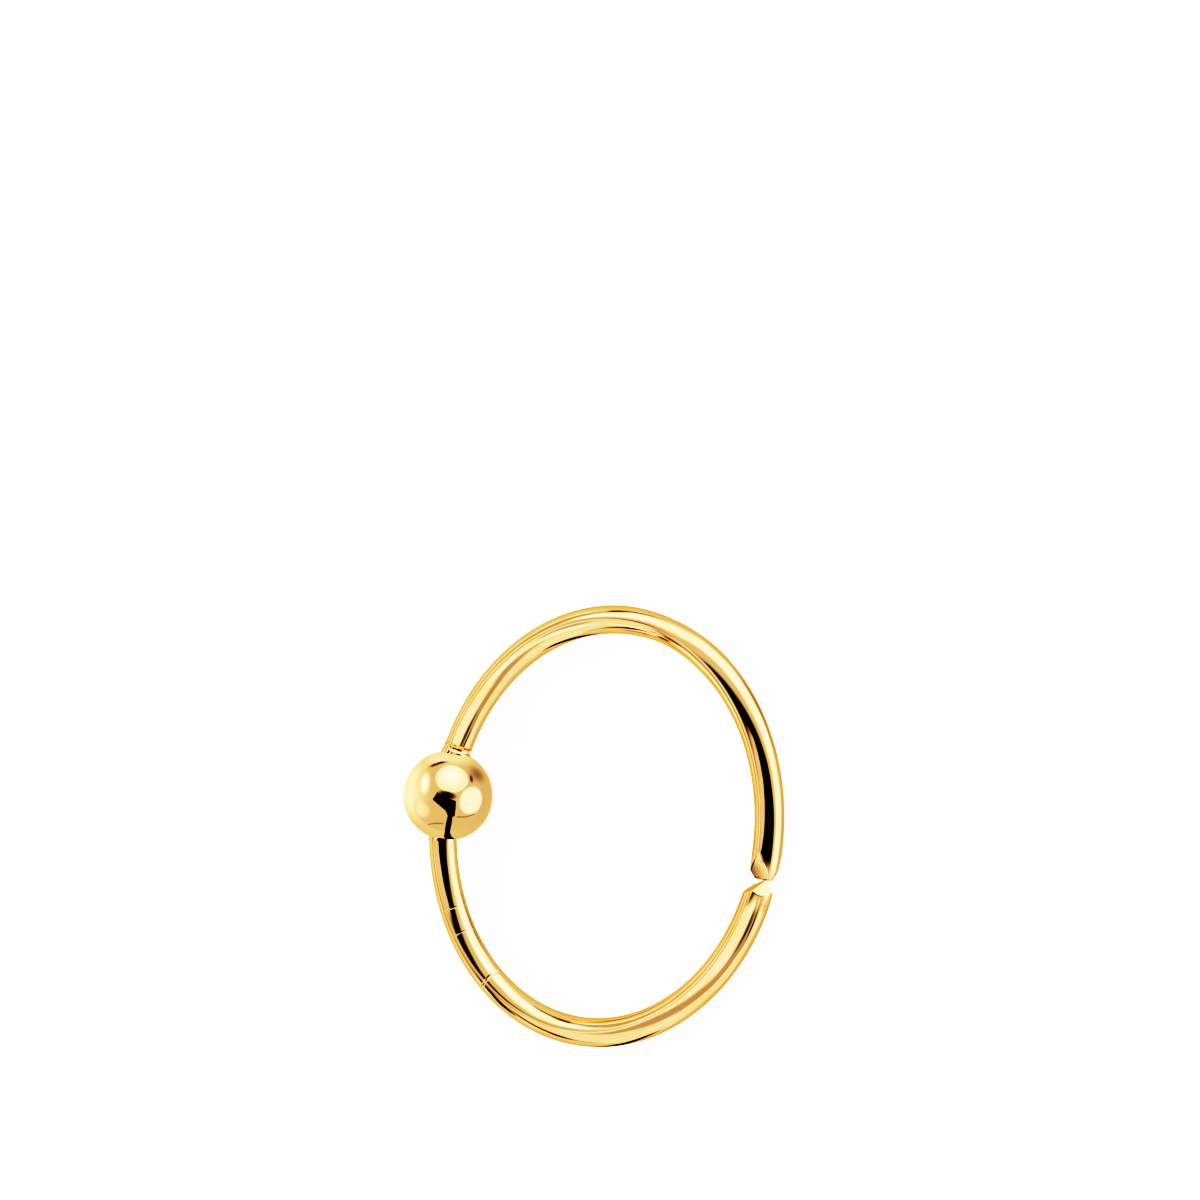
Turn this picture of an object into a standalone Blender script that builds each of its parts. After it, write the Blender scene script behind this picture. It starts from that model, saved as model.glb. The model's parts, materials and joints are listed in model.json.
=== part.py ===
"""A nose ring: a hoop of round gold wire, split on one side, with a small gold ball soldered on opposite
the split. It lies on its side, on the ball and on the wire across from it, as it would by itself."""

import math

import bmesh
import bpy
from mathutils import Matrix, Vector

# Sizes, in metres
inside_diameter = 0.0080
wire_diameter = 0.0006
ball_diameter = 0.00195
ball_inset = 0.00006  # how far the ball's centre sits inside the wire's centreline
split_gap = 0.00002  # between the two wire ends, measured along the wire at their middles
ends_lap = 0.00003  # the upper end's edge passes the middle of the split by this, beside the lower end's tip
past_cuts = 0.00015  # full round wire kept past the deepest cut, before the plain sections begin
upper_collar_length = 0.00026  # solder run out along the wire, on the +Y side of the ball
upper_collar_height = 0.00003
lower_collar_length = 0.00010  # the same on the -Y side, where the joint is crisp
lower_collar_height = 0.00001
solder_blend = 0.00003  # how softly the solder meets the ball

# Angles round the hoop, in degrees, from the point opposite the ball towards +Y
ball_place = 180.0
split_place = -6.4
thin_place = 76.0
thin_reach = 20.0  # the wire thins and fills out again over this angle either side

thin_share = 0.07  # of the wire's radius, worn off at thin_place
upper_taper = 0.13  # of the wire's radius, lost towards the upper end
lower_taper = 0.08

# The cut faces of each wire end. toward is the way a face looks round the wire, 0 outwards from the hoop and
# 90 up; start is where it leaves the end's plane, as a share of the wire's radius from its middle; slope is
# its angle to the wire's length. Angles in degrees.
upper_end_faces = [
    {"toward": 90, "start": 0.30, "slope": 27},
    {"toward": 270, "start": -0.23, "slope": 40},
    {"toward": 180, "start": 0.47, "slope": 40},
    {"toward": 0, "start": -0.47, "slope": 84},
]
lower_end_faces = [
    {"toward": 318, "start": 0.30, "slope": 43},
    {"toward": 138, "start": -0.23, "slope": 47},
    {"toward": 48, "start": 0.10, "slope": 45},
    {"toward": 228, "start": 0.47, "slope": 45},
]

# How finely the surface is divided
wire_sides = 28
wire_step = 3.0
ball_sections = 20
collar_sections = 4
end_sections = 4
cap_rings = 5

wire_radius = wire_diameter / 2
hoop_radius = (inside_diameter + wire_diameter) / 2  # the wire's centreline
ball_radius = ball_diameter / 2
ball_reach = hoop_radius - ball_inset  # from the hoop's middle to the ball's


def clear_scene():
    for obj in list(bpy.data.objects):
        bpy.data.objects.remove(obj, do_unlink=True)


def soft_max(a, b, width):
    """The larger of two lengths, rounded where they cross within the given width."""
    overlap = max(width - abs(a - b), 0.0)
    return max(a, b) + overlap * overlap / (4 * width)


def outward(angle):
    """Unit vector from the hoop's middle to the wire, at an angle round the hoop."""
    return Vector((math.cos(angle), math.sin(angle), 0.0))


def wire_radius_at(angle):
    """The wire's radius, a little thinner round thin_place."""
    away = abs(math.degrees(angle) - thin_place) / thin_reach
    return wire_radius * (1 - thin_share * math.cos(math.pi / 2 * min(away, 1.0)) ** 2)


def collar_height_at(angle):
    """How far the solder stands out from the wire: it dies away along the collar's length."""
    from_ball = angle - math.radians(ball_place)
    upper = from_ball < 0
    length = upper_collar_length if upper else lower_collar_length
    height = upper_collar_height if upper else lower_collar_height
    past_ball = abs(from_ball) * hoop_radius - math.sqrt(ball_radius**2 - wire_radius**2)
    return height * max(1 - max(past_ball, 0.0) / length, 0.0) ** 2


def ball_surface(angle, side):
    """Distance from the wire's centreline to the ball's surface, in the direction side of the wire's section.
    Where that line misses the ball the value goes on falling, so that the wire takes over."""
    across = outward(angle) * math.cos(side) + Vector((0, 0, math.sin(side)))
    offset = outward(angle) * hoop_radius - outward(math.radians(ball_place)) * ball_reach
    along = offset.dot(across)
    inside = along * along + ball_radius**2 - offset.length_squared
    return math.copysign(math.sqrt(abs(inside)), inside) - along


def skin_point(angle, side):
    """A point of the surface: angle goes round the hoop, side round the wire."""
    radius = wire_radius_at(angle) + collar_height_at(angle)
    if abs(angle - math.radians(ball_place)) < math.pi / 4:
        radius = soft_max(radius, ball_surface(angle, side), solder_blend)
    return outward(angle) * (hoop_radius + radius * math.cos(side)) + Vector((0, 0, radius * math.sin(side)))


def setback(faces, out, up):
    """How far the cut faces have taken the end back, at a place out and up from the wire's middle."""
    deepest = 0.0
    for face in faces:
        toward = math.radians(face["toward"])
        across = out * math.cos(toward) + up * math.sin(toward) - face["start"] * wire_radius
        deepest = max(deepest, across / math.tan(math.radians(face["slope"])))
    return deepest


def end_length():
    """The stretch of wire that the cut faces can reach, and a little more."""
    rims = [
        (1 - face["start"]) * wire_radius / math.tan(math.radians(face["slope"]))
        for face in upper_end_faces + lower_end_faces
    ]
    return max(rims) + past_cuts


def end_point(out, up, end, share):
    """A point near a wire end: out and up from the centreline, at a share of the way from the cut
    face back to the end of the dressed stretch, where the taper has died away."""
    depth = setback(end["faces"], out, up)
    back = depth + (end_length() - depth) * share
    width = 1 - end["taper"] * (1 - back / end_length()) ** 1.5
    angle = end["angle"] + end["heading"] * back / hoop_radius
    return outward(angle) * (hoop_radius + out * width) + Vector((0, 0, up * width))


def end_rings(end):
    """Rings of points from the middle of a cut face to its rim and on along the wire, the middle one
    being a single point."""
    rings = [[end_point(0.0, 0.0, end, 0.0)]]
    steps = [(k / cap_rings, 0.0) for k in range(1, cap_rings + 1)]
    steps += [(1.0, k / end_sections) for k in range(1, end_sections)]
    for reach, share in steps:
        rings.append([
            end_point(wire_radius * reach * math.cos(side), wire_radius * reach * math.sin(side), end, share)
            for side in wire_round()
        ])
    return rings


def wire_round():
    """The angles of the points round the wire's section."""
    return [2 * math.pi * k / wire_sides for k in range(wire_sides)]


def even(start, stop, count):
    """count + 1 values, evenly spaced."""
    return [start + (stop - start) * k / count for k in range(count + 1)]


def section_angles(start, stop):
    """Where the sections lie between the dressed ends: evenly along the wire, closer on the collars, and
    in equal steps of latitude over the ball."""
    latitude = math.acos(wire_radius / ball_radius)
    middle = math.radians(ball_place)
    ball = [
        middle + math.asin(ball_radius / ball_reach * math.sin(turn))
        for turn in even(-latitude, latitude, ball_sections)
    ]
    upper = even(ball[0] - upper_collar_length / hoop_radius, ball[0], collar_sections)
    lower = even(ball[-1], ball[-1] + lower_collar_length / hoop_radius, collar_sections)
    first = even(start, upper[0], math.ceil(math.degrees(upper[0] - start) / wire_step))
    last = even(lower[-1], stop, math.ceil(math.degrees(stop - lower[-1]) / wire_step))
    return first + upper[1:] + ball[1:] + lower[1:] + last[1:]


def surface_rings():
    """Every ring of points, from the middle of one cut face to the middle of the other."""
    upper = {
        "angle": math.radians(split_place) + (split_gap / 2 - ends_lap) / hoop_radius,
        "heading": 1,
        "faces": upper_end_faces,
        "taper": upper_taper,
    }
    lower = {
        "angle": math.radians(split_place) + 2 * math.pi - split_gap / 2 / hoop_radius,
        "heading": -1,
        "faces": lower_end_faces,
        "taper": lower_taper,
    }
    dressed = end_length() / hoop_radius
    rings = end_rings(upper)
    for angle in section_angles(upper["angle"] + dressed, lower["angle"] - dressed):
        rings.append([skin_point(angle, side) for side in wire_round()])
    return rings + end_rings(lower)[::-1]


def resting_place():
    """Turns and lifts the hoop so that it lies on the ball and on the wire across from it, with the middle of
    its outline over the origin."""
    tilt = math.asin((ball_radius - wire_radius) / (hoop_radius + ball_reach))
    height = hoop_radius * math.sin(tilt) + wire_radius
    ball_side = ball_reach * math.cos(tilt) + ball_radius
    split_side = hoop_radius * math.cos(tilt) + wire_radius
    place = Matrix.Translation(((ball_side - split_side) / 2, 0, height))
    return place @ Matrix.Rotation(tilt, 4, "Y")


def joined_mesh(name, rings):
    """A closed mesh through the rings, whose first and last are single points."""
    mesh = bpy.data.meshes.new(name)
    work = bmesh.new()
    loops = [[work.verts.new(point) for point in ring] for ring in rings]
    for near, far in zip(loops, loops[1:]):
        for k in range(wire_sides):
            after = (k + 1) % wire_sides
            if len(near) == 1:
                corners = (near[0], far[after], far[k])
            elif len(far) == 1:
                corners = (near[k], near[after], far[0])
            else:
                corners = (near[k], near[after], far[after], far[k])
            work.faces.new(corners)
    bmesh.ops.recalc_face_normals(work, faces=work.faces)
    work.to_mesh(mesh)
    work.free()
    return mesh


def gold():
    material = bpy.data.materials.new("polished_gold")
    material.use_nodes = True
    shader = material.node_tree.nodes["Principled BSDF"]
    shader.inputs["Base Color"].default_value = (1.0, 0.76, 0.33, 1.0)
    shader.inputs["Metallic"].default_value = 1.0
    shader.inputs["Roughness"].default_value = 0.12
    return material


def make_ring():
    """The hoop and its ball, one piece of metal since they are soldered."""
    mesh = joined_mesh("hoop_with_ball", surface_rings())
    mesh.transform(resting_place())
    mesh.shade_smooth()
    mesh.set_sharp_from_angle(angle=math.radians(40))
    mesh.materials.append(gold())
    ring = bpy.data.objects.new("hoop_with_ball", mesh)
    bpy.context.scene.collection.objects.link(ring)


clear_scene()
make_ring()
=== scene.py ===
# A gold nose ring lying on a pale table, under soft studio light.
# Lengths are in metres, and the hoop and its ball lie where the solid ring lies.
import json
import math
import bpy
import numpy as np
from mathutils import Matrix, Vector


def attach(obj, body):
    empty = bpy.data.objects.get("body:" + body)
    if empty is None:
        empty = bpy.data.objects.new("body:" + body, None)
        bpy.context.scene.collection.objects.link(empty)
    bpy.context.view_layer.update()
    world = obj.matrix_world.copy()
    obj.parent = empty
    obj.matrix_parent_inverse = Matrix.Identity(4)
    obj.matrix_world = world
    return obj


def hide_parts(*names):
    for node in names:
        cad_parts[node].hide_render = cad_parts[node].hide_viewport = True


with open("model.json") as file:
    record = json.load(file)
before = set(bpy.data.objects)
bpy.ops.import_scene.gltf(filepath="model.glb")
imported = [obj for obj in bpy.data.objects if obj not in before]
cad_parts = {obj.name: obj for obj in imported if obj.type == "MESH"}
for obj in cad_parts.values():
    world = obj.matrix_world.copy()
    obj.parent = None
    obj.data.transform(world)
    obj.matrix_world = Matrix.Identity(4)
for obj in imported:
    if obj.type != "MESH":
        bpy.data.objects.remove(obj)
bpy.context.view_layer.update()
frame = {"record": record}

mm = 0.001

# The seat is a stretch of the wire a quarter of the way round from the ball. Its radius is the wire's, and its
# place and axis give the hoop's radius and how far the ring leans.
seat = frame["record"]["mounts"][0]
wireRadius = seat["dims"]["r_mm"] * mm
hoopRadius = seat["pos_m"][1]
restTilt = math.asin(seat["axis"][2] / math.hypot(seat["axis"][0], seat["axis"][2]))
ringToTable = Matrix.Translation((seat["pos_m"][0], 0, seat["pos_m"][2])) @ Matrix.Rotation(restTilt, 4, "Y")
ringMiddle = Vector(ringToTable.translation)
print("frame loaded: wire radius %.2f mm, hoop radius %.2f mm" % (wireRadius / mm, hoopRadius / mm))


# A node's output, which can stand in sums. Numbers and other outputs mix freely.
class Knob:
    def __init__(self, wiring, socket):
        self.wiring = wiring
        self.socket = socket

    def maths(self, operation, first, second):
        return self.wiring.add("ShaderNodeMath", {"operation": operation}, {0: first, 1: second})

    def __add__(self, other):
        return self.maths("ADD", self, other)

    def __sub__(self, other):
        return self.maths("SUBTRACT", self, other)

    def __rsub__(self, other):
        return self.maths("SUBTRACT", other, self)

    def __mul__(self, other):
        return self.maths("MULTIPLY", self, other)

    __radd__ = __add__
    __rmul__ = __mul__

    # 0 below the first number and 1 above the second, with a soft step between
    def step(self, low, high):
        return self.wiring.add(
            "ShaderNodeMapRange",
            {"interpolation_type": "SMOOTHSTEP"},
            {"Value": self, "From Min": low, "From Max": high},
        )


# A node tree being wired up. add makes any node: its settings come first, then its sockets' values or links.
class Wiring:
    def __init__(self, owner):
        owner.use_nodes = True
        self.tree = owner.node_tree
        self.tree.nodes.clear()

    def add(self, kind, settings=None, sockets=None, output=0):
        node = self.tree.nodes.new(kind)
        for key, value in (settings or {}).items():
            setattr(node, key, value)
        for key, value in (sockets or {}).items():
            if isinstance(value, Knob):
                self.tree.links.new(value.socket, node.inputs[key])
            else:
                node.inputs[key].default_value = value
        return Knob(self, node.outputs[output]) if node.outputs else node

    # the three numbers of a vector
    def split(self, vector):
        parts = self.add("ShaderNodeSeparateXYZ", None, {0: vector})
        return [Knob(self, socket) for socket in parts.socket.node.outputs]


# A closed skin over rows of points that each go once round, with a single point before the first row and one
# after the last. along is each row's place on the UV map. The sign of the volume turns the faces outwards.
def makeSkin(name, rows, startPoint, endPoint, along, material):
    rowCount, sideCount = rows.shape[:2]
    points = np.concatenate([rows.reshape(-1, 3), [startPoint], [endPoint]])
    row, side = np.meshgrid(np.arange(rowCount - 1), np.arange(sideCount), indexing="ij")
    row, side = row.ravel(), side.ravel()
    after = (side + 1) % sideCount
    quads = np.stack([row * sideCount + side, row * sideCount + after,
                      (row + 1) * sideCount + after, (row + 1) * sideCount + side], axis=1)
    quadUv = np.stack([np.stack([along[row], side / sideCount], 1),
                       np.stack([along[row], (side + 1) / sideCount], 1),
                       np.stack([along[row + 1], (side + 1) / sideCount], 1),
                       np.stack([along[row + 1], side / sideCount], 1)], axis=1)
    ring = np.arange(sideCount)
    nextOne = (ring + 1) % sideCount
    last = (rowCount - 1) * sideCount
    fans = np.concatenate([
        np.stack([np.full(sideCount, rowCount * sideCount), nextOne, ring], axis=1),
        np.stack([np.full(sideCount, rowCount * sideCount + 1), last + ring, last + nextOne], axis=1),
    ])
    startRound = np.stack([ring + 0.5, ring + 1, ring], axis=1)
    endRound = np.stack([ring + 0.5, ring, ring + 1], axis=1)
    fanUv = np.stack([
        np.repeat([along[0], along[-1]], sideCount)[:, None] + np.zeros(3),
        np.concatenate([startRound, endRound]) / sideCount,
    ], axis=2)
    triangles = np.concatenate([quads[:, [0, 1, 2]], quads[:, [0, 2, 3]], fans])
    corners = points[triangles]
    if np.einsum("ij,ij->", corners[:, 0], np.cross(corners[:, 1], corners[:, 2])) < 0:
        quads, quadUv, fans, fanUv = quads[:, ::-1], quadUv[:, ::-1], fans[:, ::-1], fanUv[:, ::-1]
    mesh = bpy.data.meshes.new(name)
    mesh.from_pydata(points, [], quads.tolist() + fans.tolist())
    uvMap = mesh.uv_layers.new(name="alongAndRound")
    uvMap.data.foreach_set("uv", np.concatenate([quadUv.reshape(-1, 2), fanUv.reshape(-1, 2)]).ravel())
    mesh.shade_smooth()
    mesh.materials.append(material)
    piece = bpy.data.objects.new(name, mesh)
    bpy.context.scene.collection.objects.link(piece)
    return piece


# Points of a ring that is flat and centred, leaned and moved to where the ring lies.
def onTable(points):
    turn = np.array(ringToTable.to_3x3())
    return points @ turn.T + np.array(ringToTable.translation)


# The gold of each piece: waves are the broad unevenness of handwork, grain the fine lines of the drawn wire.
hoopLook = {
    "colour": (1.0, 0.69, 0.395),
    "warmColour": (1.0, 0.655, 0.34),
    "edge": (0.9, 0.65, 0.35),  # the gold's colour where it is seen from the side
    "roughness": 0.07,
    "smudges": 0.06,  # how much rougher its dull patches are
    "waveScale": 700.0,
    "waveHeight": 0.006 * mm,
    "grainHeight": 0.0006 * mm,
    "grainCells": (30.0, 70.0),  # how often the lines change along the wire and round it
}
ballLook = {
    "colour": (1.0, 0.69, 0.395),
    "warmColour": (1.0, 0.67, 0.36),
    "edge": (1.0, 0.85, 0.65),
    "roughness": 0.05,
    "smudges": 0.05,
    "waveScale": 1100.0,
    "waveHeight": 0.004 * mm,
}

# Patches in the gold of both: how fine they are, and the levels between which they turn warm or dull.
patches = {
    "scale": 1500.0,
    "detail": 5.0,
    "warm": (0.4, 0.7),
    "dull": (0.5, 0.75),
}

# Scratches and creases round the hoop: the place in degrees, the width and depth, and the part of the wire's
# girth they cross, 0 being the outermost line and 0.25 the top.
marks = [
    {"place": 165.3, "width": 0.09 * mm, "depth": 0.05 * mm, "girth": (0.17, 0.55)},
    {"place": 216.5, "width": 0.025 * mm, "depth": 0.005 * mm, "girth": (0.0, 0.6)},
    {"place": 225.0, "width": 0.02 * mm, "depth": 0.004 * mm, "girth": (0.1, 0.5)},
    {"place": 243.0, "width": 0.05 * mm, "depth": 0.006 * mm, "girth": (0.0, 0.6)},
]
marksFade = 0.03  # the share of the girth over which a mark comes in and dies away


# How high the marks leave the surface, worked out on the UV map: each is a valley across the wire, a soft
# step of the squared distance from its middle, which fades in and out round the girth.
def markHeights(along, girth):
    mapLength = 2 * math.pi * hoopRadius / (1 - 2 * hoop["endsOnMap"])
    height = 0.0
    for mark in marks:
        fromMark = (along - alongAt(mark["place"])) * (mapLength / mark["width"])
        valley = 1 - (fromMark * fromMark).step(0, 1)
        start, stop = mark["girth"]
        begun = girth.step(start - marksFade, start + marksFade)
        ended = girth.step(stop - marksFade, stop + marksFade)
        height = height - valley * begun * (1 - ended) * mark["depth"]
    return height


# Polished gold: bumps from the waves and, on the marked wire, from its lines and marks. Colour and roughness
# vary in soft patches. On a colour mix, input 0 is the share, 6 and 7 the colours, and output 2 the result.
def goldFinish(name, look, marked):
    material = bpy.data.materials.new(name)
    wiring = Wiring(material)
    place = wiring.add("ShaderNodeTexCoord", None, None, "Object")
    unevenness = wiring.add("ShaderNodeTexNoise", None, {
        "Vector": place, "Scale": look["waveScale"], "Detail": 1.0})
    smudge = wiring.add("ShaderNodeTexNoise", None, {
        "Vector": place, "Scale": patches["scale"], "Detail": patches["detail"]})
    height = unevenness * look["waveHeight"]
    if marked:
        along, girth, _ = wiring.split(wiring.add("ShaderNodeTexCoord", None, None, "UV"))
        lengthwise, roundwise = look["grainCells"]
        cells = wiring.add("ShaderNodeCombineXYZ", None, {
            0: along * lengthwise, 1: girth * roundwise, 2: 0.0})
        grain = wiring.add("ShaderNodeTexNoise", None, {"Vector": cells, "Scale": 1.0, "Detail": 3.0})
        height = height + grain * look["grainHeight"] + markHeights(along, girth)
    bump = wiring.add("ShaderNodeBump", None, {"Strength": 1.0, "Distance": 1.0, "Height": height})
    colour = wiring.add("ShaderNodeMix", {"data_type": "RGBA"}, {
        0: smudge.step(*patches["warm"]), 6: (*look["colour"], 1.0), 7: (*look["warmColour"], 1.0)}, 2)
    metal = wiring.add("ShaderNodeBsdfPrincipled", None, {
        "Base Color": colour,
        "Metallic": 1.0,
        "Specular Tint": (*look["edge"], 1.0),
        "Roughness": look["roughness"] + look["smudges"] * smudge.step(*patches["dull"]),
        "Normal": bump,
    })
    wiring.add("ShaderNodeOutputMaterial", None, {"Surface": metal})
    return material


# Places and slopes are in degrees. A place is the angle round the hoop from the point across from the ball.
# An end's faces are cut by flat strokes: toward is the way the face looks round the wire, 0 away from the hoop
# and 90 up, start is where it begins as a share of the wire's radius, slope its angle to the wire.
hoop = {
    "ballPlace": 180.0,
    "splitPlace": -6.4,
    "splitGap": 0.02 * mm,
    "endsLap": 0.03 * mm,  # how far the upper end comes over the split
    "pastCuts": 0.15 * mm,  # how far the dressing of the ends goes on past their faces
    "thinPlace": 76.0,
    "thinReach": 20.0,
    "thinShare": 0.07,
    "edgeRounding": 0.004 * mm,
    "upperTaper": 0.13,
    "lowerTaper": 0.08,
    "taperPower": 1.5,
    "rimFrom": 0.93,  # where an end's rim starts to round off, as a share of the wire's radius
    "rimDrop": 0.008 * mm,
    "endsOnMap": 0.02,  # the share of the UV map that each end takes
    "upperFaces": [
        {"toward": 90, "start": 0.30, "slope": 27},
        {"toward": 270, "start": -0.23, "slope": 40},
        {"toward": 180, "start": 0.47, "slope": 40},
        {"toward": 0, "start": -0.47, "slope": 84},
    ],
    "lowerFaces": [
        {"toward": 318, "start": 0.30, "slope": 43},
        {"toward": 138, "start": -0.23, "slope": 47},
        {"toward": 48, "start": 0.10, "slope": 45},
        {"toward": 228, "start": 0.47, "slope": 45},
    ],
    "upperCollar": (0.26 * mm, 0.03 * mm),  # length and height of the solder on the +Y side of the ball
    "lowerCollar": (0.10 * mm, 0.01 * mm),  # and on its other side
    "rows": 560,
    "capRows": 16,
    "endRows": 14,
    "sides": 96,
}

ball = {
    "radius": 0.975 * mm,
    "inset": 0.06 * mm,  # how far its middle sits inside the wire's centreline
    "rows": 110,
    "sides": 150,
}


# Unit vectors from the hoop's middle to the wire.
def outward(angle):
    return np.stack([np.cos(angle), np.sin(angle), np.zeros_like(angle)], axis=-1)


# A point out and up from the centreline at an angle round the hoop.
def besideWire(angle, out, up):
    lift = np.zeros(3)
    lift[2] = 1
    return outward(angle) * (hoopRadius + out)[..., None] + up[..., None] * lift


# The largest of several arrays, rounded where two of them meet within the width.
def softMax(arrays, width):
    stack = np.stack(np.broadcast_arrays(*arrays))
    top = stack.max(axis=0)
    return top + width * np.log(np.exp((stack - top) / width).sum(axis=0))


# How far the cut faces take the end back: each face falls away at its slope from where it starts.
def setback(faces, out, up):
    depths = [np.zeros_like(out)]
    for face in faces:
        toward = math.radians(face["toward"])
        across = out * math.cos(toward) + up * math.sin(toward) - face["start"] * wireRadius
        depths.append(across / math.tan(math.radians(face["slope"])))
    return softMax(depths, hoop["edgeRounding"])


# The wire's radius: thinner by a cosine round thinPlace, and thicker by a falling square on the collars.
def wireRadiusAt(angle):
    away = np.minimum(np.abs(np.degrees(angle) - hoop["thinPlace"]) / hoop["thinReach"], 1)
    radius = wireRadius * (1 - hoop["thinShare"] * np.cos(math.pi / 2 * away) ** 2)
    fromBall = (angle - math.radians(hoop["ballPlace"])) * hoopRadius
    pastBall = np.maximum(np.abs(fromBall) - math.sqrt(ball["radius"] ** 2 - wireRadius ** 2), 0)
    upperLength, upperHeight = hoop["upperCollar"]
    lowerLength, lowerHeight = hoop["lowerCollar"]
    upper = upperHeight * np.maximum(1 - pastBall / upperLength, 0) ** 2
    lower = lowerHeight * np.maximum(1 - pastBall / lowerLength, 0) ** 2
    return radius + np.where(fromBall < 0, upper, lower)


# One end's rows: the cut face from its middle to its rim, then the wire back to where the dressing dies away.
def endRows(angle, heading, faces, taper, length, sides):
    reach = np.concatenate([np.linspace(0, 1, hoop["capRows"] + 1)[1:], np.ones(hoop["endRows"] - 1)])
    share = np.concatenate([np.zeros(hoop["capRows"]), np.linspace(0, 1, hoop["endRows"] + 1)[1:-1]])
    out = wireRadius * reach[:, None] * np.cos(sides)
    up = wireRadius * reach[:, None] * np.sin(sides)
    depth = setback(faces, out, up)
    rim = np.maximum(reach - hoop["rimFrom"], 0)[:, None] / (1 - hoop["rimFrom"])
    depth = depth + hoop["rimDrop"] * rim ** 2 * (1 - share[:, None])
    back = depth + (length - depth) * share[:, None]
    width = 1 - taper * np.maximum(1 - back / length, 0) ** hoop["taperPower"]
    rows = besideWire(angle + heading * back / hoopRadius, out * width, up * width)
    middle = setback(faces, np.zeros(1), np.zeros(1))
    tip = besideWire(angle + heading * middle / hoopRadius, np.zeros(1), np.zeros(1))[0]
    return rows, tip


# The UV map's u at a place round the hoop, even between the two ends.
def alongAt(place):
    ends = hoop["endsOnMap"]
    return ends + (1 - 2 * ends) * (place - hoop["splitPlace"]) / 360


# The hoop: circles carried along its centreline from one side of the split to the other, and an end at each.
def makeHoop():
    sides = np.arange(hoop["sides"]) * 2 * math.pi / hoop["sides"]
    rims = [
        (1 - face["start"]) * wireRadius / math.tan(math.radians(face["slope"]))
        for face in hoop["upperFaces"] + hoop["lowerFaces"]
    ]
    length = max(rims) + hoop["pastCuts"]
    split = math.radians(hoop["splitPlace"])
    upperAngle = split + (hoop["splitGap"] / 2 - hoop["endsLap"]) / hoopRadius
    lowerAngle = split + 2 * math.pi - hoop["splitGap"] / 2 / hoopRadius
    upper, upperTip = endRows(upperAngle, 1, hoop["upperFaces"], hoop["upperTaper"], length, sides)
    lower, lowerTip = endRows(lowerAngle, -1, hoop["lowerFaces"], hoop["lowerTaper"], length, sides)
    angles = np.linspace(upperAngle + length / hoopRadius, lowerAngle - length / hoopRadius, hoop["rows"])
    radius = wireRadiusAt(angles)[:, None]
    wire = besideWire(angles[:, None], radius * np.cos(sides), radius * np.sin(sides))
    rows = np.concatenate([upper, wire, lower[::-1]])
    ends = hoop["endsOnMap"]
    along = np.concatenate([
        np.linspace(0, ends, len(upper), endpoint=False),
        np.linspace(ends, 1 - ends, len(wire)),
        np.linspace(1 - ends, 1, len(lower) + 1)[1:],
    ])
    return makeSkin("hoop_wire", onTable(rows), onTable(upperTip), onTable(lowerTip), along, hoopGold)


# A sphere in rows of latitude about the line of the wire, so that its poles are hidden in the wire.
def makeBall():
    latitude = np.linspace(-math.pi / 2, math.pi / 2, ball["rows"] + 2)[1:-1, None]
    sides = np.arange(ball["sides"]) * 2 * math.pi / ball["sides"]
    middle = np.array([-(hoopRadius - ball["inset"]), 0, 0])
    rows = middle + ball["radius"] * np.stack([
        np.cos(latitude) * np.cos(sides),
        np.sin(latitude) + 0 * sides,
        np.cos(latitude) * np.sin(sides),
    ], axis=-1)
    pole = np.array([0, ball["radius"], 0])
    poles = onTable(middle - pole), onTable(middle + pole)
    return makeSkin("solder_ball", onTable(rows), *poles, np.linspace(0, 1, ball["rows"]), ballGold)


hoopGold = goldFinish("drawnGold", hoopLook, True)
ballGold = goldFinish("polishedGold", ballLook, False)
hoopPiece = makeHoop()
ballPiece = makeBall()
for piece in (hoopPiece, ballPiece):
    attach(piece, "root")
    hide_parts("hoop_with_ball")
hoopPiece.visible_glossy = False  # mirrored in the ball, the hoop would be one hard orange line
print("hoop and ball made")

shot = {
    "aim": Vector((-1.2493, 4.6753, 0.0)) * mm,  # the point of the table in the middle of the picture
    "distance": 64.253 * mm,
    "azimuth": -2.537,
    "elevation": 46.890,
    "roll": 79.387,
    "lens": 90.0,
    "sensor": 36.0,
    "clip": (0.1, 20),  # the nearest and farthest that it sees, as shares of the distance
}


# The camera looks at the aim from its azimuth and elevation, and is rolled about its own line of sight. Its
# right, up and backward directions are given back.
def makeCamera():
    azimuth, elevation, roll = (math.radians(shot[key]) for key in ("azimuth", "elevation", "roll"))
    flat = math.cos(elevation)
    back = Vector((flat * math.cos(azimuth), flat * math.sin(azimuth), math.sin(elevation)))
    level = (-back).cross(Vector((0, 0, 1))).normalized()
    up = level.cross(-back) * math.cos(roll) + level * math.sin(roll)
    right = (-back).cross(up)
    data = bpy.data.cameras.new("camera")
    data.lens = shot["lens"]
    data.sensor_width = shot["sensor"]
    data.clip_start, data.clip_end = (shot["distance"] * share for share in shot["clip"])
    camera = bpy.data.objects.new("camera", data)
    turn = Matrix((right, up, back)).transposed().to_4x4()
    camera.matrix_world = Matrix.Translation(shot["aim"] + back * shot["distance"]) @ turn
    bpy.context.scene.collection.objects.link(camera)
    bpy.context.scene.camera = camera
    return np.array(right), np.array(up), np.array(back)


shotRight, shotUp, shotBack = makeCamera()

studio = {
    "room": 0.74,  # light from all round
    "roomTilt": 0.12,  # it is this much brighter at the picture's left, and this much darker at its right
    "backdrop": 1.6,  # how bright the camera sees the room
    "tableGlow": 0.78,  # how much brighter the camera sees the table than it is lit
    "tableColour": 0.8,
    "tableHalf": 600 * mm,
    "cardsAway": 250 * mm,
    "cardsApart": 2 * mm,  # each card is this much nearer than the one before it
}


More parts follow.
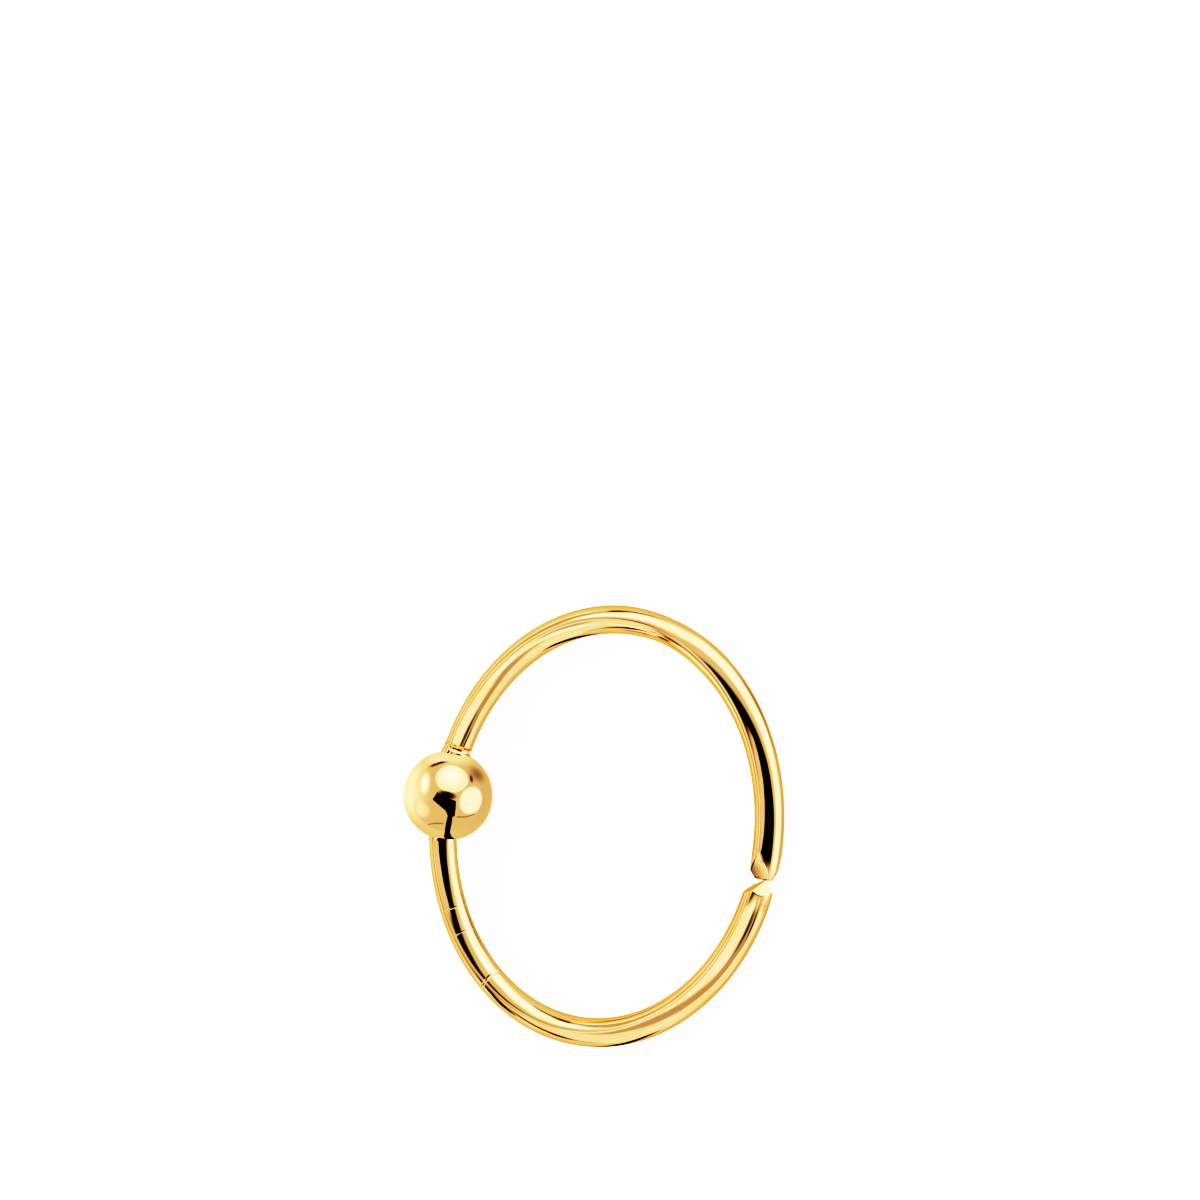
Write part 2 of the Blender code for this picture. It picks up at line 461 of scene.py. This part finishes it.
# Even light from all round, tilted towards the left of the picture, and a white room for the camera.
def makeWorld():
    world = bpy.data.worlds.new("room")
    bpy.context.scene.world = world
    wiring = Wiring(world)
    way = wiring.add("ShaderNodeTexCoord", None, None, "Generated")
    sideways = wiring.add("ShaderNodeVectorMath", {"operation": "DOT_PRODUCT"},
                          {0: way, 1: tuple(shotRight)}, "Value")
    seen = wiring.add("ShaderNodeLightPath", None, None, "Is Camera Ray")
    room = studio["room"] - studio["roomTilt"] * sideways
    level = room + seen * (studio["backdrop"] - room)
    light = wiring.add("ShaderNodeBackground", None, {"Color": (1, 1, 1, 1), "Strength": level})
    wiring.add("ShaderNodeOutputWorld", None, {"Surface": light})


# The table is a flat square of matt paint, made a little paler for the camera, that the gold doesn't mirror.
def makeTable():
    material = bpy.data.materials.new("paleTable")
    wiring = Wiring(material)
    tone = studio["tableColour"]
    paint = wiring.add("ShaderNodeBsdfDiffuse", None, {"Color": (tone, tone, tone, 1)})
    seen = wiring.add("ShaderNodeLightPath", None, None, "Is Camera Ray")
    glow = wiring.add("ShaderNodeEmission", None, {"Strength": seen * studio["tableGlow"]})
    both = wiring.add("ShaderNodeAddShader", None, {0: paint, 1: glow})
    wiring.add("ShaderNodeOutputMaterial", None, {"Surface": both})
    half = studio["tableHalf"]
    corners = [(-half, -half, 0), (half, -half, 0), (half, half, 0), (-half, half, 0)]
    mesh = bpy.data.meshes.new("table")
    mesh.from_pydata(corners, [], [(0, 1, 2, 3)])
    mesh.materials.append(material)
    table = bpy.data.objects.new("table", mesh)
    table.visible_glossy = False
    bpy.context.scene.collection.objects.link(table)


# A direction from the ring, in degrees to the right of the camera and above it, as a unit vector.
def towards(across, rise):
    away = np.radians(np.hypot(across, rise))
    turn = np.arctan2(rise, across)[..., None]
    sideways = shotRight * np.cos(turn) + shotUp * np.sin(turn)
    return shotBack * np.cos(away)[..., None] + sideways * np.sin(away)[..., None]


# A card's light, fading out over the soft shares of its width and length. Its UV map holds how far each place
# is from the card's edges. An open card adds its light to what is behind it, and any other hides that.
def cardFinish(name, level, soft, isOpen):
    material = bpy.data.materials.new(name)
    wiring = Wiring(material)
    fromSide, fromEnd, _ = wiring.split(wiring.add("ShaderNodeTexCoord", None, None, "UV"))
    inside = fromSide.step(0, soft[0]) * fromEnd.step(0, soft[1])
    clear = wiring.add("ShaderNodeBsdfTransparent")
    if isOpen:
        glow = wiring.add("ShaderNodeEmission", None, {"Strength": level * inside})
        both = wiring.add("ShaderNodeAddShader", None, {0: clear, 1: glow})
    else:
        glow = wiring.add("ShaderNodeEmission", None, {"Strength": level})
        both = wiring.add("ShaderNodeMixShader", None, {0: inside, 1: clear, 2: glow})
    wiring.add("ShaderNodeOutputMaterial", None, {"Surface": both})
    return material


# A card over a grid of points, which only mirrored rays see. One for a single piece is open, and lights that
# piece alone.
def makeCard(name, points, fromSide, fromEnd, level, soft, piece):
    rows, columns = points.shape[:2]
    row, column = np.meshgrid(np.arange(rows - 1), np.arange(columns - 1), indexing="ij")
    first = (row * columns + column).ravel()
    faces = np.stack([first, first + 1, first + columns + 1, first + columns], axis=1)
    mesh = bpy.data.meshes.new(name)
    mesh.from_pydata(points.reshape(-1, 3), [], faces.tolist())
    uvMap = mesh.uv_layers.new(name="fromEdges")
    uv = np.stack(np.broadcast_arrays(fromSide, fromEnd, points[..., 0])[:2], axis=-1).reshape(-1, 2)
    uvMap.data.foreach_set("uv", uv[faces.ravel()].ravel())
    mesh.materials.append(cardFinish(name, level, soft, piece is not None))
    card = bpy.data.objects.new(name, mesh)
    for ray in ("camera", "diffuse", "transmission", "volume_scatter", "shadow"):
        setattr(card, "visible_" + ray, False)
    if piece:
        only = bpy.data.collections.new(name + "Lights")
        only.objects.link(piece)
        card.light_linking.receiver_collection = only
    bpy.context.scene.collection.objects.link(card)


# How finely the cards are divided: an oval into rings and round, a flag into rings and along each of its
# sides, and a strip across and along.
grids = {
    "ovalRings": 17,
    "ovalRound": 65,
    "flagRings": 9,
    "flagSide": 12,
    "stripAcross": 17,
    "stripAlong": 97,
}
hardEdge = 1e-4  # a soft share so small that it doesn't show


# Points of a great ball round the ring, from degrees right of the camera and above it.
def farAway(across, rise, order):
    return np.array(ringMiddle) + towards(across, rise) * (studio["cardsAway"] - order * studio["cardsApart"])


# Rings of an oval: the share of the way to its edge, and its points along its two axes.
def ovalGrid(size):
    rings = np.linspace(0, 1, grids["ovalRings"])
    reach, angle = np.meshgrid(rings, np.linspace(0, 2 * math.pi, grids["ovalRound"]), indexing="ij")
    return reach, size[0] * reach * np.cos(angle), size[1] * reach * np.sin(angle)


# An oval card: rings from its middle to its edge, turned anticlockwise by some degrees.
def makeOval(name, order, piece, at, size, level, soft, turn=0):
    reach, x, y = ovalGrid(size)
    turn = math.radians(turn)
    across = at[0] + x * math.cos(turn) - y * math.sin(turn)
    rise = at[1] + x * math.sin(turn) + y * math.cos(turn)
    makeCard(name, farAway(across, rise, order), 1 - reach, 1, level, (soft, hardEdge), piece)


# The points of a line through its corners, evenly shared between them.
def alongLine(corners, count):
    corners = np.array(corners, float)
    place = np.linspace(0, len(corners) - 1, count)
    return np.stack([np.interp(place, np.arange(len(corners)), corners[:, k]) for k in (0, 1)], axis=-1)


# A card with straight sides: rings from its middle to its outline.
def makeFlag(name, order, piece, corners, level, soft):
    outline = alongLine(corners + corners[:1], grids["flagSide"] * len(corners) + 1)
    middle = np.mean(corners, axis=0)
    reach = np.linspace(0, 1, grids["flagRings"])[:, None]
    across, rise = (middle[k] + reach * (outline[:, k] - middle[k]) for k in (0, 1))
    makeCard(name, farAway(across, rise, order), 1 - reach, 1, level, (soft, hardEdge), piece)


# A card between two lines, soft towards the lines by its first share and towards its ends by the second.
def makeStrip(name, order, piece, first, second, level, soft):
    first, second = (alongLine(line, grids["stripAlong"]) for line in (first, second))
    share = np.linspace(0, 1, grids["stripAcross"])[:, None]
    across, rise = (first[:, k] + share * (second[:, k] - first[:, k]) for k in (0, 1))
    fromEnd = 1 - np.abs(np.linspace(-1, 1, grids["stripAlong"]))
    makeCard(name, farAway(across, rise, order), 1 - np.abs(2 * share - 1), fromEnd, level, soft, piece)


# An oval card close to the wire: at a place round the ring, a way off along a direction from it, facing it.
def makeNearOval(name, order, piece, place, away, at, size, level, soft):
    angle = math.radians(place)
    start = onTable(np.array([hoopRadius * math.cos(angle), hoopRadius * math.sin(angle), 0]))
    back = towards(*np.array(at, float))
    side = np.cross(shotUp, back)
    side /= np.linalg.norm(side)
    reach, x, y = ovalGrid(size)
    points = start + back * away + x[..., None] * side + y[..., None] * np.cross(back, side)
    makeCard(name, points, 1 - reach, 1, level, (soft, hardEdge), piece)


streak = dict(
    first=[(-84, -6), (-89, -30), (-89, -62)],
    second=[(-88, -6), (-97, -30), (-98, -60)], soft=(0.5, 0.3))

# The cards, farthest first: the name, what makes it, the only piece that it lights, or None for both, and its
# settings. Places and sizes are in degrees to the right of the camera and above it, as seen from the ring. A
# near card's size and its way off are lengths. soft is the share of a card over which its light fades.
cards = [
    ("backing", makeOval, None, dict(at=(0, 0), size=(105, 105), level=0.0, soft=0.06)),
    ("ballBase", makeOval, ballPiece, dict(at=(0, 0), size=(105, 105), level=0.68, soft=0.06)),
    ("ballLeft", makeOval, ballPiece, dict(at=(-125, 15), size=(95, 125), level=0.5, soft=0.8)),
    ("ballTop", makeOval, ballPiece, dict(at=(-10, 125), size=(120, 48), level=0.3, soft=0.6)),
    ("topLobe", makeOval, ballPiece, dict(at=(12, 50), size=(47, 40), turn=-8, level=0.5, soft=0.1)),
    ("topCore", makeOval, ballPiece, dict(at=(10, 56), size=(42, 38), level=0.7, soft=1.0)),
    ("rightLobe", makeOval, ballPiece, dict(at=(66, -12), size=(37, 43), turn=-14, level=0.7, soft=0.22)),
    ("leftLobe", makeOval, ballPiece, dict(at=(-62, 36), size=(18, 38), level=1.0, soft=0.9)),
    ("lowLobe", makeOval, ballPiece, dict(at=(-68, -38), size=(28, 27), level=0.25, soft=0.6)),
    ("darkCorner", makeOval, None, dict(at=(90, 66), size=(46, 36), turn=-30, level=0.36, soft=0.9)),
    ("darkSliver", makeOval, None, dict(at=(67, 50), size=(8, 18), turn=10, level=0.08, soft=0.9)),
    ("brownEdge", makeOval, None, dict(at=(0, 6), size=(30, 13), turn=-15, level=0.04, soft=0.6)),
    ("blackFlag", makeFlag, None, dict(
        corners=[(-39, -6), (-26, 14), (-8, 3), (8, -4), (23, -10), (22, -30), (19, -52), (3, -57), (-4, -36),
                 (-22, -20)], level=0.0, soft=0.05)),
    ("slit", makeStrip, None, dict(
        first=[(1, -46), (-7, -75), (-13, -104), (-20, -125), (-24, -150)],
        second=[(15, -46), (10, -75), (3, -104), (4, -125), (8, -150)], level=0.0, soft=(0.2, 0.05))),
    ("rightLine", makeStrip, None, dict(
        first=[(20, -51), (50, -55), (78, -50)],
        second=[(20, -56), (50, -60), (80, -55)], level=0.25, soft=(0.8, 0.3))),
    ("leftLine", makeStrip, None, dict(
        first=[(-60, -78), (-38, -70), (-8, -68)],
        second=[(-62, -83), (-38, -77), (-8, -76)], level=0.35, soft=(0.8, 0.3))),
    ("topStreak", makeStrip, None, dict(
        first=[(-64, 78), (-42, 80), (-20, 89), (8, 97)],
        second=[(-68, 86), (-48, 97), (-24, 107), (10, 107)], level=0.08, soft=(1.0, 0.7))),
    ("goldArc", makeStrip, hoopPiece, dict(
        first=[(-77, 13), (-60, 26), (-45, 34), (-20, 40), (0, 38), (17, 30), (27, 14), (31, -4), (30, -46)],
        second=[(-82, 30), (-72, 62), (-50, 88), (-20, 106), (20, 110), (62, 96), (95, 66), (108, 20),
                (100, -62)],
        level=0.68, soft=(0.22, 0.1))),
    ("crescent", makeStrip, hoopPiece, dict(
        first=[(-76, 20), (-60, 41), (-42, 54), (-20, 58), (0, 55), (24, 45), (40, 28), (46, 5), (44, -40)],
        second=[(-80, 34), (-70, 62), (-50, 84), (-20, 102), (20, 107), (60, 92), (90, 62), (102, 18),
                (96, -56)],
        level=0.75, soft=(0.4, 0.12))),
    ("lowerGlow", makeStrip, hoopPiece, dict(
        first=[(-78, 0), (-69, -22), (-50, -41), (-25, -52), (5, -55), (31, -46), (46, -28)],
        second=[(-88, -10), (-84, -42), (-66, -78), (-35, -105), (10, -108), (60, -90), (100, -45)],
        level=0.95, soft=(0.3, 0.1))),
    ("creamWedge", makeStrip, hoopPiece, dict(
        first=[(-77, 11), (-58, 7), (-38, 3), (-15, -4), (10, -12)],
        second=[(-77, 4), (-65, -14), (-47, -30), (-22, -42), (8, -40)], level=1.15, soft=(0.45, 0.4))),
    ("brownArc", makeStrip, hoopPiece, dict(
        first=[(-76, 8), (-62, -8), (-43, -24), (-20, -34), (5, -36), (25, -28)],
        second=[(-79, 0), (-72, -26), (-54, -46), (-27, -58), (5, -60), (35, -50)],
        level=0.5, soft=(0.5, 0.03))),
    ("pole", makeOval, hoopPiece, dict(at=(-80, 10), size=(12, 26), turn=10, level=0.6, soft=0.7)),
    ("brownRight", makeOval, hoopPiece, dict(at=(22, -24), size=(20, 16), level=0.6, soft=1.0)),
    ("tailWedge", makeFlag, hoopPiece, dict(
        corners=[(-77, 9), (-62, 18), (-48, 25), (-34, 29), (-31, 20), (-38, 8), (-55, 3)],
        level=0.75, soft=0.25)),
    ("hoopLeft", makeStrip, hoopPiece, dict(
        first=[(-58, 86), (-69, 58), (-72, 32), (-77, 12), (-82, -5), (-86, -30), (-82, -55), (-74, -72)],
        second=[(-68, 90), (-88, 62), (-102, 35), (-106, 12), (-106, -5), (-102, -32), (-93, -52),
                (-78, -76)],
        level=0.5, soft=(0.25, 0.1))),
    ("leftStreak", makeStrip, None, dict(streak, level=0.0)),
    ("streakOff", makeStrip, ballPiece, dict(streak, level=0.95)),  # hides the streak from the ball
    ("nearBall", makeNearOval, hoopPiece, dict(
        place=164, away=3.0 * mm, at=(0, 15), size=(2.4 * mm, 1.3 * mm), level=0.7, soft=0.5)),
    ("nearLowerEnd", makeNearOval, hoopPiece, dict(
        place=348, away=1.2 * mm, at=(2, 0), size=(1.1 * mm, 0.8 * mm), level=0.62, soft=0.7)),
]


# Every card in its turn, each a little nearer than the last.
def lightStudio():
    for order, (name, make, piece, settings) in enumerate(cards):
        make(name, order, piece, **settings)


# The picture's tones: how bright each level of light comes out, as on a contrasty print.
tones = [
    (0.0, 0.0), (0.118, 0.017), (0.168, 0.043), (0.24, 0.11), (0.343, 0.27), (0.49, 0.55), (0.7, 0.80),
    (1.0, 0.94), (1.31, 0.99), (1.7, 1.0),
]


# The tones as points of the curve that all three colours share, with the brightest light at its end.
def setTones():
    view = bpy.context.scene.view_settings
    view.view_transform = "Standard"
    view.look = "None"
    view.use_curve_mapping = True
    brightest = tones[-1][0]
    view.curve_mapping.white_level = (brightest,) * 3
    curve = view.curve_mapping.curves[3]
    curve.points[0].location = tones[0]
    curve.points[1].location = (1.0, tones[-1][1])
    for light, shown in tones[1:-1]:
        curve.points.new(light / brightest, shown)
    view.curve_mapping.update()


makeWorld()
makeTable()
lightStudio()
setTones()
print("camera, table and light made")
